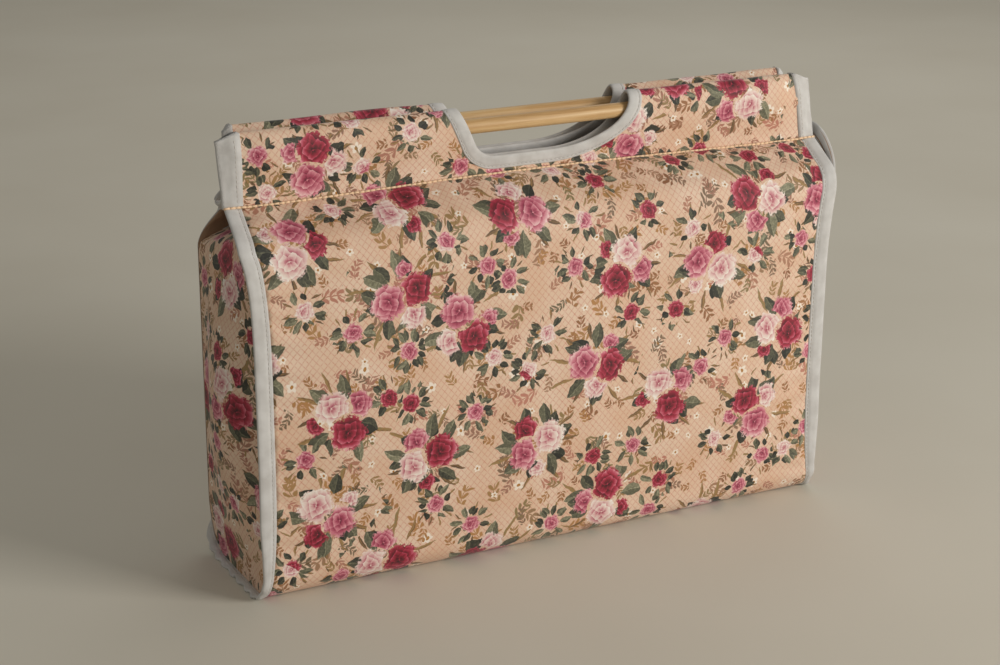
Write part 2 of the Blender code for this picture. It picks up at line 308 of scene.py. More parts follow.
def drawLeaves(node, spot, chance, fleck, ring):
    # a ring of leaves round a middle, each with its own length, lean and tone
    count, start, length, width, leftOut, shades = ring
    reach, angle = drawPolar(node, spot)
    shift = node("Math.MULTIPLY", chance, 10 + count)
    turn = node("Math.MULTIPLY_ADD", angle, count / (2 * pi), shift)
    leaf = node("Math.FLOORED_MODULO", node("Math.FLOOR", turn), count)
    luck = node("TexWhiteNoise", W=node("Math.MULTIPLY_ADD", shift, 3.7, leaf),
                noise_dimensions="1D", out="Color")
    long, lean, shade = node("SeparateColor", luck).node.outputs
    span = node("Math.MULTIPLY_ADD", long, 0.5 * length, 0.6 * length)
    share = node("Math.DIVIDE", node("Math.SUBTRACT", reach, start), span)
    bend = node("Math.MULTIPLY", node("Math.SUBTRACT", lean, 0.5), share)
    aside = node("Math.MULTIPLY_ADD", bend, 0.7, node("Math.SUBTRACT", node("Math.FRACT", turn), 0.5))
    across = node("Math.MULTIPLY", node("Math.MULTIPLY", aside, reach), 2 * pi / count)
    distance = node("Math.ABSOLUTE", across)
    tip = node("Math.SUBTRACT", 1.0, share)
    room = node("Math.MULTIPLY", node("Math.MULTIPLY", share, tip), 4 * width)
    drawn = node("Math.GREATER_THAN", shade, leftOut)
    cover = node("Math.MULTIPLY", drawCover(node, room, distance, 3.0), drawn)
    rib = node("Math.MULTIPLY_ADD", distance, -2.2, 1.0, use_clamp=True)
    lit = node("Math.MULTIPLY", node("Math.GREATER_THAN", across, 0.0), 0.16)
    tone = node("Math.MULTIPLY_ADD", long, 0.55, node("Math.MULTIPLY_ADD", fleck, 0.5, -0.2))
    tone = node("Math.ADD", node("Math.MULTIPLY_ADD", rib, 0.22, lit), tone)
    return cover, node("ValToRGB", tone, stops=shades)


def drawSprigs(node, colour, point, size, grow):
    # little sprigs with paired leaflets, and a few white blossoms, over a colour
    sprig, _, chances = drawScatter(node, point, size, 0.85)
    sprig = node("VectorMath.DIVIDE", sprig, (grow, grow, 1))
    along, side, _ = node("SeparateXYZ", sprig).node.outputs
    bow = node("Math.MULTIPLY_ADD", node("Math.MULTIPLY", along, along), 0.05, side)
    off = node("Math.ABSOLUTE", bow)
    stem = node("Math.MULTIPLY_ADD", off, -6.0, 1.9, use_clamp=True)
    slant = node("Math.MULTIPLY_ADD", off, -0.9, along)
    step = node("Math.FRACT", node("Math.DIVIDE", slant, chintz["leaflets"]))
    pair = node("Math.ABSOLUTE", node("Math.SUBTRACT", step, 0.5))
    lens = node("Math.MULTIPLY_ADD", off, 0.62, -1.0)
    lens = node("Math.MULTIPLY_ADD", node("Math.MULTIPLY", lens, lens), -0.36, 0.36)
    leaflets = drawCover(node, lens, pair, 9.0)
    reach = node("Math.MULTIPLY_ADD", chances[2], 3.5, 3.2)
    within = node("Math.LESS_THAN", node("Math.ABSOLUTE", along), reach)
    drawn = node("Math.MULTIPLY", within, node("Math.GREATER_THAN", chances[1], 0.3))
    cover = node("Math.MULTIPLY", node("Math.MAXIMUM", stem, leaflets), drawn)
    colour = node("MixRGB", cover, colour, node("ValToRGB", chances[2], stops=sprigShades))
    reach, angle = drawPolar(node, sprig)
    petals = node("Math.ABSOLUTE", node("Math.COSINE", node("Math.MULTIPLY", angle, 2.5)))
    room = node("Math.MULTIPLY_ADD", petals, 1.2, 1.4)
    drawn = node("Math.LESS_THAN", chances[1], 0.2)
    cover = node("Math.MULTIPLY", drawCover(node, room, reach, 3.0), drawn)
    blossom = node("MixRGB", node("Math.LESS_THAN", reach, 0.8), hexColour("#f3e6d8"), hexColour("#b07a35"))
    return node("MixRGB", cover, colour, blossom)


def drawWeave(node, flat):
    # plain weave: the height of crossing warp and weft
    turns = node("VectorMath.SCALE", flat, Scale=2 * pi / chintz["weave"])
    x, y, _ = node("SeparateXYZ", turns).node.outputs
    return node("Math.MULTIPLY", node("Math.SINE", x), node("Math.SINE", y))


def makePrintCotton():
    # soft matt cotton with a faint sheen, its bouquets printed on a hatched peach ground
    material, node = newMaterial("printCotton", 0.62, sheen=0.12)
    flat = readMap(node)
    wander = node("TexNoise", flat, Scale=0.12, Detail=2.5, noise_dimensions="2D", out="Color")
    moved = node("VectorMath.MULTIPLY_ADD", wander, (chintz["wander"], chintz["wander"], 0), flat)
    point = node("VectorRotate", moved, Angle=chintz["lie"])
    fleck = node("TexNoise", point, Scale=0.6, Detail=2.0, noise_dimensions="2D")

    # peach ground, crossed by two sets of broken pinkish lines
    patches = node("TexNoise", flat, Scale=0.03, Detail=1.0, noise_dimensions="2D")
    colour = node("ValToRGB", patches, stops=groundShades)
    hatch = 0.0
    for lean in (chintz["hatchLean"], -chintz["hatchLean"]):
        step = (cos(lean) / chintz["hatch"], sin(lean) / chintz["hatch"], 0)
        row = node("Math.FRACT", node("VectorMath.DOT_PRODUCT", flat, step, out="Value"))
        off = node("Math.ABSOLUTE", node("Math.SUBTRACT", row, 0.5))
        line = node("Math.MULTIPLY_ADD", off, -9.0, 1.1, use_clamp=True)
        hatch = node("Math.MAXIMUM", hatch, line)
    hatch = node("Math.MULTIPLY", hatch, node("Math.MULTIPLY_ADD", fleck, 1.8, -0.3, use_clamp=True))
    colour = node("MixRGB", hatch, colour, hexColour("#cf8d76"))

    colour = drawSprigs(node, colour, point, chintz["spray"], chintz["sprayGrowth"])
    colour = drawSprigs(node, colour, point, chintz["sprig"], 1)

    # bouquets, and buds where there is room between them
    bouquet, middle, chances = drawScatter(node, point, chintz["bouquet"], 0.45)
    bud, budMiddle, budChances = drawScatter(node, point, chintz["bud"], 0.7)
    gap = node("VectorMath.DISTANCE", middle, budMiddle, out="Value")
    stands = node("Math.GREATER_THAN", gap, chintz["clear"])
    nearBud = node("Math.LESS_THAN", node("VectorMath.LENGTH", bud, out="Value"), chintz["budReach"])
    budLeaves = node("VectorMath.MULTIPLY", bud, (2, 2, 0))
    leafSpot = node("MixRGB", node("Math.MULTIPLY", nearBud, stands), bouquet, budLeaves)
    for ring in leafRings:
        cover, shade = drawLeaves(node, leafSpot, chances[2], fleck, ring)
        colour = node("MixRGB", cover, colour, shade)

    # the rose or bud over each point, with its radius and palette
    spot = bud
    budRadius = node("Math.MULTIPLY_ADD", stands, chintz["budRadius"], 0.001)  # next to none without room
    budPalette = node("Math.MULTIPLY", budChances[1], 1.6)
    traits = node("CombineXYZ", budRadius, budPalette, 1.0)
    for place, radius, palette in roses:
        offset = node("VectorMath.SUBTRACT", bouquet, (*place, 0))
        inside = node("Math.LESS_THAN", node("VectorMath.LENGTH", offset, out="Value"), radius)
        spot = node("MixRGB", inside, spot, offset)
        traits = node("MixRGB", inside, traits, (radius, palette, place[0], 1))
    radius, palette, seed = node("SeparateXYZ", traits).node.outputs
    reach, angle = drawPolar(node, spot)
    scallop = node("Math.ABSOLUTE", node("Math.COSINE", node("Math.MULTIPLY_ADD", angle, 2.5, seed)))
    frill = node("Math.MULTIPLY_ADD", scallop, 0.16, node("Math.MULTIPLY_ADD", fleck, 0.5, 0.55))
    share = node("Math.DIVIDE", reach, node("Math.MULTIPLY", radius, frill))

    # ruffled petals, each dark towards the heart and light at its rim
    size = node("Math.DIVIDE", roses[-1][1] / chintz["petal"], radius)
    ruffle = node("TexVoronoi", spot, Scale=size, Randomness=1.0, voronoi_dimensions="2D", out="Position")
    outward = node("VectorMath.NORMALIZE", spot)
    rise = node("VectorMath.DOT_PRODUCT", node("VectorMath.SUBTRACT", spot, ruffle), outward, out="Value")
    petal = node("Math.MULTIPLY_ADD", node("Math.MULTIPLY", rise, size), 0.75, 0.5)
    lit = node("VectorMath.DOT_PRODUCT", spot, (-0.007, 0.012, 0), out="Value")
    tone = node("Math.MULTIPLY_ADD", share, 0.36, node("Math.MULTIPLY_ADD", fleck, 0.4, -0.24))
    tone = node("Math.ADD", lit, node("Math.MULTIPLY_ADD", petal, 0.62, tone))
    swap = node("Math.FLOOR", node("Math.MULTIPLY", chances[1], 3.0))
    palette = node("Math.FLOORED_MODULO", node("Math.ADD", palette, swap), 3.0)
    shades = [node("ValToRGB", tone, stops=stops) for stops in rosePalettes]
    rose = node("MixRGB", node("Math.GREATER_THAN", palette, 0.5), shades[0], shades[1])
    rose = node("MixRGB", node("Math.GREATER_THAN", palette, 1.5), rose, shades[2])
    cover = node("Math.MULTIPLY_ADD", share, -9.0, 9.0, use_clamp=True)
    colour = node("MixRGB", cover, colour, rose)

    return dress(material, colour, drawWeave(node, flat), weaveRelief)


def makeLining():
    # the reverse of the print, dull and a little uneven; its tan is darker than the bare reverse, painted
    # shade for the shadowed inside of the bag
    material, node = newMaterial("shadedLining", 0.85)
    flat = readMap(node)
    patches = node("TexNoise", flat, Scale=0.02, Detail=3.0, noise_dimensions="2D")
    # darker tan: painted shade for the bag's shadowed inside
    colour = node("ValToRGB", patches, stops=((0.3, "#977860"), (0.7, "#a98a70")))
    return dress(material, colour, drawWeave(node, flat), weaveRelief)


def makeTape():
    # white cotton bias tape: bright, matt, with the slant of its weave across it
    material, node = newMaterial("whiteTape", 0.78, sheen=0.2)
    flat = readMap(node)
    patches = node("TexNoise", flat, Scale=0.09, Detail=3.0, noise_dimensions="2D")
    colour = node("ValToRGB", patches, stops=((0.3, "#c3c1bf"), (0.7, "#d2d1d0")))
    step = 5.0  # threads 0.9 mm apart on the slant, coarser than the real ones so that they show
    slant = node("VectorMath.DOT_PRODUCT", flat, (step, step, 0), out="Value")
    cross = node("VectorMath.DOT_PRODUCT", flat, (step, -step, 0), out="Value")
    weave = node("Math.MULTIPLY", node("Math.SINE", slant), node("Math.SINE", cross))
    return dress(material, colour, node("Math.MULTIPLY_ADD", patches, 2.0, weave), 0.00004)


def makeThread(name, dark, light):
    # twisted sewing thread with a slight gloss
    material, node = newMaterial(name, 0.5)
    place = node("TexCoord", out="Object")
    twist = node("VectorMath.DOT_PRODUCT", place, (7000, 5000, 6000), out="Value")  # about 0.6 mm a turn
    tone = node("Math.MULTIPLY_ADD", node("Math.SINE", twist), 0.5, 0.5)
    return dress(material, node("ValToRGB", tone, stops=((0, dark), (1, light))))


def makeWood():
    # pale sanded hardwood: fine darker grain running along the dowel
    material, node = newMaterial("dowelWood", 0.5)
    place = node("TexCoord", out="Object")
    streaks = node("VectorMath.MULTIPLY", place, (9, 330, 330))  # 3 mm wide and 110 mm long
    grain = node("TexNoise", streaks, Scale=1.0, Detail=4.0, Distortion=0.6)
    specks = node("VectorMath.MULTIPLY", place, (60, 2400, 2400))  # 0.4 mm wide and 17 mm long
    pores = node("TexNoise", specks, Scale=1.0, Detail=2.0)
    tone = node("Math.MULTIPLY_ADD", pores, 0.35, node("Math.MULTIPLY_ADD", grain, 0.8, -0.08))
    stops = ((0.2, "#a87c4a"), (0.42, "#c79f6b"), (0.6, "#d8b684"), (0.85, "#e3c69a"))
    return dress(material, node("ValToRGB", tone, stops=stops), pores, 0.00006)


def makeFloor():
    # plain pale backdrop with a faint mottle
    material, node = newMaterial("paleFloor", 0.85)
    mottle = node("TexNoise", node("TexCoord", out="Object"), Scale=3.0, Detail=3.0)
    return dress(material, node("ValToRGB", mottle, stops=((0.3, "#d6d1c4"), (0.7, "#dcd8cc"))))


printCotton = makePrintCotton()
shadedLining = makeLining()
whiteTape = makeTape()
peachThread = makeThread("peachThread", "#ecc49c", "#f9dcbb")
whiteThread = makeThread("whiteThread", "#bdb8b2", "#dfdbd6")
dowelWood = makeWood()
paleFloor = makeFloor()
print("materials made")


# The strip of printed cotton: half the base, the roll, a wall, the fold and a flap

strip = {
    "columns": 130,
    "rows": 170,
    "thickness": 0.0016,
    "foldRadius": 0.022,
    "waist": 0.007,  # how far the end seams draw in at half height
    "swell": 0.007,  # of the wall, fullest below half height
    "crown": 0.0018,  # of the flap
    "bow": 0.0025,  # rise of the stitch line in its middle
    "brow": 0.0016,  # roll of the flap just below its stitch line, towards the right
    "browReach": 0.009,
    "dent": 0.0026,  # slow unevenness of a filled bag
    "dentSize": 0.105,
    "gather": 0.0009,  # puckers along the sewn edges
    "gatherPitch": 0.0165,
    "gatherReach": 0.018,
    "gatherEdge": 0.003,  # flat beside the seam, the stitch line and the floor
    "gatherStitch": 0.004,
    "gatherFloor": 0.03,
    "edgeRest": 0.03,  # the unevenness dies out this near the seams, the stitch line and the floor
    "stitchRest": 0.012,
    "floorRest": 0.02,
    "stitchBend": 0.010,  # height of the casing above its stitch line
    "cornerOut": 0.003,  # how far the back left seam stands out
    "cornerRise": 0.04,
    "cornerPull": 0.014,  # and how far it is drawn in at its top
    "pullStart": 0.214,
    "pullLength": 0.03,
}
casingTrim = {  # how much further out each end of a casing lies, at the stitch line and at the top
    ("front", -1): (0.0013, 0.0020),
    ("front", 1): (0.0080, 0.0002),
    ("back", -1): (-0.0025, -0.0025),
    ("back", 1): (0.0013, 0.0013),
}

flapRun = Vector((stitchDepth - halfDepth, stitchHeight - foldHeight))
flapHeading = atan2(flapRun.y, flapRun.x)
foldTurn = flapHeading - pi / 2
foldCut = strip["foldRadius"] * tan(foldTurn / 2)
stripLengths = (
    halfDepth - rollRadius,
    rollRadius * pi / 2,
    foldHeight - foldCut - rollRadius,
    strip["foldRadius"] * foldTurn,
    flapRun.length - foldCut,
)
stripLength = sum(stripLengths)
flapStart = stripLength - stripLengths[4] - stripLengths[3] / 2  # the fold line's place along the strip


def stripProfile(length):
    # depth, height and heading from the middle of the base up to the stitch line
    flat, roll, wall, bend, _ = stripLengths
    if length < flat:
        return length, 0, 0
    length -= flat
    if length < roll:
        angle = length / rollRadius
        return flat + rollRadius * sin(angle), rollRadius * (1 - cos(angle)), angle
    length -= roll
    if length < wall:
        return halfDepth, rollRadius + length, pi / 2
    length -= wall
    if length < bend:
        angle = length / strip["foldRadius"]
        depth = halfDepth - strip["foldRadius"] * (1 - cos(angle))
        return depth, foldHeight - foldCut + strip["foldRadius"] * sin(angle), pi / 2 + angle
    share = (foldCut + length - bend) / flapRun.length
    return halfDepth + flapRun.x * share, foldHeight + flapRun.y * share, flapHeading


def seamHalf(height):
    share = clamp(height / foldHeight)
    return halfWidth - strip["waist"] * (1 - (2 * share - 1) ** 4)


def seamEdge(side, sign, height):
    # x of an end seam
    if side == "front" or sign > 0:
        return sign * seamHalf(height)
    drawn = strip["cornerPull"] * smooth((height - strip["pullStart"]) / strip["pullLength"])
    return -halfWidth - strip["cornerOut"] * smooth(height / strip["cornerRise"]) + drawn


casingEnds = {(side, sign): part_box(side + "_casing")[sign > 0].x for side, sign in casingTrim}


def casingEnd(side, sign, share):
    # x of an end of a casing, from the stitch line up to its top
    return casingEnds[side, sign] + sign * mix(*casingTrim[side, sign], share)


stitchEnds = {(side, sign): casingEnd(side, sign, 0) for side, sign in casingTrim}


def flapShare(length):
    return clamp((length - flapStart) / (stripLength - flapStart))


def stripEdge(side, sign, length):
    # x of a sewn edge of the strip
    height = stripProfile(length)[1]
    return mix(seamEdge(side, sign, height), stitchEnds[side, sign], flapShare(length))


def stitchBow(x):
    return strip["bow"] * max(1 - (x / halfWidth) ** 2, 0) ** 2


def stripPoint(side, x, length, lift=0):
    depth, height, heading = stripProfile(length)
    left = stripEdge(side, -1, length)
    right = stripEdge(side, 1, length)
    reach = clamp((x - left) / (right - left)) * 2 - 1
    seed = 1 if side == "front" else 2
    full = 1 - reach ** 2
    low = 0.3 * rollRadius
    wallShare = clamp((height - low) / (foldHeight - low))
    swell = strip["swell"] * full * sin(pi * wallShare ** 0.85) ** 2
    onFlap = flapShare(length)
    swell += strip["crown"] * full ** 0.3 * 4 * onFlap * (1 - onFlap)
    toEdge = min(x - left, right - x)
    toStitch = stripLength - length
    brow = toStitch / strip["browReach"]
    swell += strip["brow"] * brow * exp(1 - brow) * mix(0.35, 1, smooth(x / halfWidth)) * full ** 0.2
    rest = smooth(toEdge / strip["edgeRest"]) * smooth(toStitch / strip["stitchRest"])
    rest *= smooth((height - 0.002) / strip["floorRest"])
    dent = strip["dent"] * ripple(x, length, strip["dentSize"], seed)
    dent += 0.4 * strip["dent"] * ripple(x, length, 0.4 * strip["dentSize"], seed + 3)
    pucker = strip["gather"] * smooth(height / strip["gatherFloor"])
    wave = sin(2 * pi * length / strip["gatherPitch"] + 3 * ripple(x, length, 0.05, seed + 5))
    edge = wave * exp(-max(toEdge, 0) / strip["gatherReach"]) * smooth(toEdge / strip["gatherEdge"])
    wave = sin(2 * pi * x / (1.4 * strip["gatherPitch"]) + 4 * ripple(x, length, 0.07, seed + 6))
    edge += wave * exp(-toStitch / strip["gatherReach"]) * smooth(toStitch / strip["gatherStitch"])
    out = swell + dent * rest + edge * pucker + lift
    depth += out * sin(heading)
    height += -out * cos(heading) + stitchBow(x) * smooth(onFlap)
    return Vector((x, sideSign[side] * depth, height))


def addCloth(name, columns, rows, place, flip):
    form = bmesh.new()
    addGrid(form, columns, rows, place, flip)
    piece = addPiece(name, form, printCotton, shadedLining)
    thicken(piece, strip["thickness"])
    return piece


def addStrip(side):
    def place(across, along):
        length = along * stripLength
        x = mix(stripEdge(side, -1, length), stripEdge(side, 1, length), across)
        return stripPoint(side, x, length), (-sideSign[side] * x, length)

    return addCloth(side + "Cloth", strip["columns"], strip["rows"], place, side == "back")


def bendAtFold(piece):
    for length in (sum(stripLengths[:3]), sum(stripLengths[:4])):
        depth, height, _ = stripProfile(length)
    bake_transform(piece)


def bendAtStitch(piece):
    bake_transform(piece)


# Bias tape, folded round an edge: an inset from its sewn edge and a lift from the cloth's middle

tape = {
    "width": 0.011,
    "overlap": 0.0006,  # onto the cloth
    "edge": 0.0010,  # half its thickness at the sewn edge
    "full": 0.0014,  # half its thickness at its fullest
    "groove": 0.0004,  # depth of the stitch groove
    "stitchInset": 0.0017,
    "backTurn": 2.5,  # how far the back flanges turn from sideways towards the back wall
    "tuck": 0.0010,  # and how far they move in behind the seam
    "tuckEnd": 0.6,  # share of the flap where they are flat again
    "backSpread": 0.4,  # share of the width that shows on the back flap and casing
    "floorWidth": 0.5,  # share of the width that shows on the floor
    "floorReach": 0.03,  # height where the tape has left the floor
    "widthReach": 0.06,  # and where it has its full width
    "scallop": 0.013,  # length of the waves along the floor
    "frill": 0.07,  # share of the width that they take
    "sway": 0.0008,  # of the outer edge along the seam, and along the floor
    "floorSway": 0.0007,
    "lean": 0.0012,  # of the outer edge away from the gusset
    "clear": 0.0003,  # least height over the floor
    "steps": 150,
}
tapeThread = {"pitch": 0.0031, "cover": 0.78, "radius": 0.00032}


def tapeSection(width, overlap, full):
    # closed outline: out along one face, round the fold, back along the other face
    edge = tape["edge"] * full / tape["full"]
    groove = tape["stitchInset"]
    face = [
        (-overlap, edge),
        (groove * 0.55, edge + 0.0001),
        (groove, edge - tape["groove"] * 0.6),
        (groove * 1.5, full * 0.93),
        (width * 0.42, full),
        (width * 0.7, full * 0.97),
        (width - 0.8 * full, full * 0.8),
        (width - 0.25 * full, full * 0.45),
    ]
    return face + [(width, 0)] + [(inset, -lift) for inset, lift in reversed(face)]


def addTape(name, stations, section, lifts, closed=False, flip=False, stop=None):
    # a band with a row of stitches at each lift
    form = bmesh.new()
    addBand(form, stations, section, closed, flip)
    line = stations + stations[:1] if closed else stations[:stop]
    for lift in lifts:
        addStitches(form, [spot(tape["stitchInset"], lift) for spot in line], tapeThread, 1)
    return addPiece(name, form, whiteTape, whiteThread)


def addSeamTape(side, end):
    # from the middle of the base up the end seam, over the fold, to the stitch line
    sign = endSign[end]
    seed = 11 + 2 * (side == "back") + (end == "right")

    def station(length):
        depth, height, heading = stripProfile(length)
        edge = stripEdge(side, sign, length)
        floorShare = 1 - smooth(height / tape["floorReach"])
        wave = sin(2 * pi * length / tape["scallop"] + 5 * ripple(length, seed, 0.05, seed))
        width = mix(tape["floorWidth"], 1, smooth(height / tape["widthReach"]))
        width += 0.04 * ripple(length, 0, 0.04, seed) + floorShare * tape["frill"] * wave
        sway = tape["sway"] * ripple(length, 0, 0.03, seed + 4) + floorShare * tape["floorSway"] * wave
        lean = sway + tape["lean"] * (1 - floorShare)
        turn = 0
        if side == "back":
            onFlap = smooth(flapShare(length) / tape["tuckEnd"])
            turn = tape["backTurn"] * (1 - floorShare) * (1 - onFlap)
            width *= mix(1, tape["backSpread"], onFlap)

        def point(inset, lift):
            out = lift - strip["thickness"] / 2 + lean * inset / tape["width"]
            aside = inset * width * cos(turn) - out * sin(turn)
            aside -= tape["tuck"] * (1 - cos(turn))
            out = inset * width * sin(turn) + out * cos(turn)
            rise = stitchBow(edge) * flapShare(length)
            return Vector((
                edge + sign * aside,
                sideSign[side] * (depth + out * sin(heading)),
                max(height - out * cos(heading), tape["clear"]) + rise,
            ))

        return point

    stations = [station(stripLength * share) for share in evenShares(tape["steps"])]
    section = tapeSection(tape["width"], tape["overlap"], tape["full"])
    return addTape(f"{side}{end.title()}SeamTape", stations, section, (tape["edge"], -tape["edge"]),
                   flip=sign == sideSign[side])


# Handle casings: flat cloth tunnels, scooped in the middle for the hand

casing = {
    "hem": 0.0016,  # half thickness where the two layers are stitched
    "half": dowelDepth - 0.0033,  # half thickness round the dowel
    "endHalf": 0.0042,  # and at the closed ends
    "wall": 0.0011,
    "taper": 0.020,
    "lean": 0.0019,
    "columns": 70,
    "sideRows": 22,
    "topRows": 14,
    "wave": 0.0010,
    "sag": 0.0008,  # unevenness of the top
    "tapeWidth": 0.0122,
    "tapeLap": 0.002,  # onto the cloth
    "tapeLift": 0.0007,  # off the cloth
    "tapeWave": 0.0006,
    "tapeSteps": 44,
    "tapeTop": 0.8,  # share of the top arc where the end tape stops closing
    "tapeDroop": 0.004,
}
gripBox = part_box("front_grip_binding")
grip = {
    "topLeft": gripBox[0].x,  # outer edge of the tape at the top, on the left
    "slope": 0.44,  # how far the left side leans out for its height
    "floor": gripBox[0].z - 0.0025,  # outer edge of the tape at the bottom, which sags a little
    "cornerRadius": 0.0272,
    "bowlCentre": 0.010,  # the right side is a quarter of an oval about this place
    "bowlWidth": gripBox[1].x - 0.008,
    "tapeWidth": 0.0098,
    "tapeFull": 0.0013,
    "hidden": 0.004,  # cloth under the tape
    "corner": 0.2,  # shares of the outline where its corner, floor and oval begin
    "flat": 0.4,
    "bowl": 0.55,
    "steps": 64,
    "ridgeSteps": 12,
}
stitchThread = {
    "pitch": 0.0036,
    "cover": 1.6,
    "radius": 0.00036,
    "steps": 240,
    "below": 0.0006,  # the casing's hem
    "raise": 0.0002,  # off the cloth
    "raiseOnTape": 0.0012,
}


def casingRow(row, flat):
    # rows go up the front, over the dowel and down the back: out from the middle, height, facing
    up = casing["sideRows"]
    over = casing["topRows"]
    if up < row < up + over:
        angle = pi * (row - up) / over
        half = mix(casing["half"], casing["endHalf"], flat)
        return half * cos(angle), mix(dowelHeight, casingTop, sin(angle)), angle
    share = (row if row <= up else 2 * up + over - row) / up
    height = mix(stitchHeight, dowelHeight, share)
    out = casingHalf(height, flat)
    return (out, height, 0) if row <= up else (-out, height, pi)


def casingHalf(height, flat):
    # half thickness of a casing at a height
    half = mix(casing["half"], casing["endHalf"], flat)
    if height > dowelHeight:
        rise = min((height - dowelHeight) / (casingTop - dowelHeight), 1)
        return half * sqrt(1 - rise ** 2)
    share = max((height - stitchHeight) / (dowelHeight - stitchHeight), 0)
    return mix(casing["hem"], half, (1 - cos(pi * share)) / 2)


def casingPoint(side, x, out, height, facing, lift=0):
    seed = 21 if side == "front" else 22
    share = clamp((height - stitchHeight) / (dowelHeight - stitchHeight))
    middle = dowelDepth + casing["lean"] * (1 - share)
    middle += casing["wave"] * ripple(x, height, 0.07, seed) * smooth(share * 2) * (out > 0)
    height += stitchBow(x) * (1 - smooth(share))
    height += casing["sag"] * ripple(x, 0, 0.05, seed + 2) * smooth(share)
    depth = middle + out + lift * cos(facing)
    return Vector((x, sideSign[side] * depth, height + lift * sin(facing)))


def topShare(height):
    return (height - stitchHeight) / (casingTop - stitchHeight)


def endFlat(side, x, height):
    share = topShare(height)
    toEnd = min(x - casingEnd(side, -1, share), casingEnd(side, 1, share) - x)
    return smooth(1 - toEnd / casing["taper"])


def gripLeft(height, inset):
    # down the leaning left side and round its corner
    lean = atan(grip["slope"])
    radius = grip["cornerRadius"] - inset
    centreHeight = grip["floor"] + grip["cornerRadius"]
    side = grip["topLeft"] + (casingTop - centreHeight) * grip["slope"]
    centre = side + grip["cornerRadius"] / cos(lean)
    drop = centreHeight - height
    if drop > radius * sin(lean):
        return centre - sqrt(max(radius ** 2 - drop ** 2, 0))
    return grip["topLeft"] + (casingTop - height) * grip["slope"] + inset / cos(lean)


def gripRight(height, inset):
    drop = (casingTop - height) / (casingTop - grip["floor"] - inset)
    return grip["bowlCentre"] + (grip["bowlWidth"] - inset) * sqrt(max(1 - drop ** 2, 0))


def gripOutline(share, inset):
    # left side down, round the corner, along the floor, up the oval: (x, height)
    lean = atan(grip["slope"])
    radius = grip["cornerRadius"] - inset
    floor = grip["floor"] + inset
    centreHeight = floor + radius
    centre = gripLeft(floor, inset)
    corner, flat, bowl = grip["corner"], grip["flat"], grip["bowl"]
    if share < corner:
        tangent = Vector((centre - radius * cos(lean), centreHeight - radius * sin(lean)))
        return Vector((gripLeft(dowelHeight, inset), dowelHeight)).lerp(tangent, share / corner)
    if share < flat:
        angle = mix(pi + lean, 1.5 * pi, (share - corner) / (flat - corner))
        return Vector((centre + radius * cos(angle), centreHeight + radius * sin(angle)))
    if share < bowl:
        return Vector((mix(centre, grip["bowlCentre"], (share - flat) / (bowl - flat)), floor))
    deep = casingTop - floor
    angle = mix(pi / 2, asin((casingTop - dowelHeight) / deep), (share - bowl) / (1 - bowl))
    wide = grip["bowlWidth"] - inset
    return Vector((grip["bowlCentre"] + wide * cos(angle), casingTop - deep * sin(angle)))


def addCasing(side):
    form = bmesh.new()
    rows = 2 * casing["sideRows"] + casing["topRows"]
    lengths = [stripLength]
    for row in range(rows):
        lengths.append(lengths[-1] + dist(casingRow(row, 0)[:2], casingRow(row + 1, 0)[:2]))
    for sign, scoop in ((-1, gripLeft), (1, gripRight)):
        def place(across, along):
            row = round(along * rows)
            height = casingRow(row, 0)[1]
            scooped = height > grip["floor"] + grip["hidden"]
            inner = scoop(height, grip["hidden"]) if scooped else 0
            x = mix(inner, casingEnd(side, sign, topShare(height)), across)
            out, height, facing = casingRow(row, endFlat(side, x, height))
            return casingPoint(side, x, out, height, facing), (-sideSign[side] * x, lengths[row])

        addGrid(form, casing["columns"], rows, place, flip=sign == sideSign[side])
    bmesh.ops.remove_doubles(form, verts=form.verts, dist=0.00001)
    line = []
    left = stitchEnds[side, -1]
    right = stitchEnds[side, 1]
    over = tape["width"] if side == "front" else 0  # the front row runs on across the tapes
    for share in evenShares(stitchThread["steps"]):
        x = mix(left - over, right + over, share)
        onTape = smooth(max(left - x, x - right) / casing["tapeLap"] + 1)
        lift = stitchThread["raise"] + stitchThread["raiseOnTape"] * onTape
        line.append(stripPoint(side, x, stripLength - stitchThread["below"], lift))
    addStitches(form, line, stitchThread, 2)
    piece = addPiece(side + "Casing", form, printCotton, shadedLining, peachThread)
    return piece, lengths[-1] - lengths[0]


def addGripTape(side):
    # once round the scooped edge of the tunnel: front layer, right ridge, back layer, left ridge
    def layerStation(share, layer):
        def point(inset, lift):
            x, height = gripOutline(share, inset)
            out = layer * casingHalf(height, 0)
            facing = 0 if layer > 0 else pi
            return casingPoint(side, x, out, height, facing, lift - casing["wall"] / 2)
        return point

    def ridgeStation(angle, scoop):
        def point(inset, lift):
            height = mix(dowelHeight, casingTop, sin(angle))
            out = casing["half"] * cos(angle)
            return casingPoint(side, scoop(height, inset), out, height, angle, lift - casing["wall"] / 2)
        return point

    scooped = evenShares(grip["steps"])
    ridge = [pi * share for share in evenShares(grip["ridgeSteps"])[1:-1]]
    stations = [layerStation(share, 1) for share in scooped]
    stations += [ridgeStation(angle, gripRight) for angle in ridge]
    stations += [layerStation(1 - share, -1) for share in scooped]
    stations += [ridgeStation(pi - angle, gripLeft) for angle in ridge]
    section = tapeSection(grip["tapeWidth"], 0, grip["tapeFull"])
    return addTape(side + "GripTape", stations, section, [tape["edge"]], closed=True, flip=side == "front")


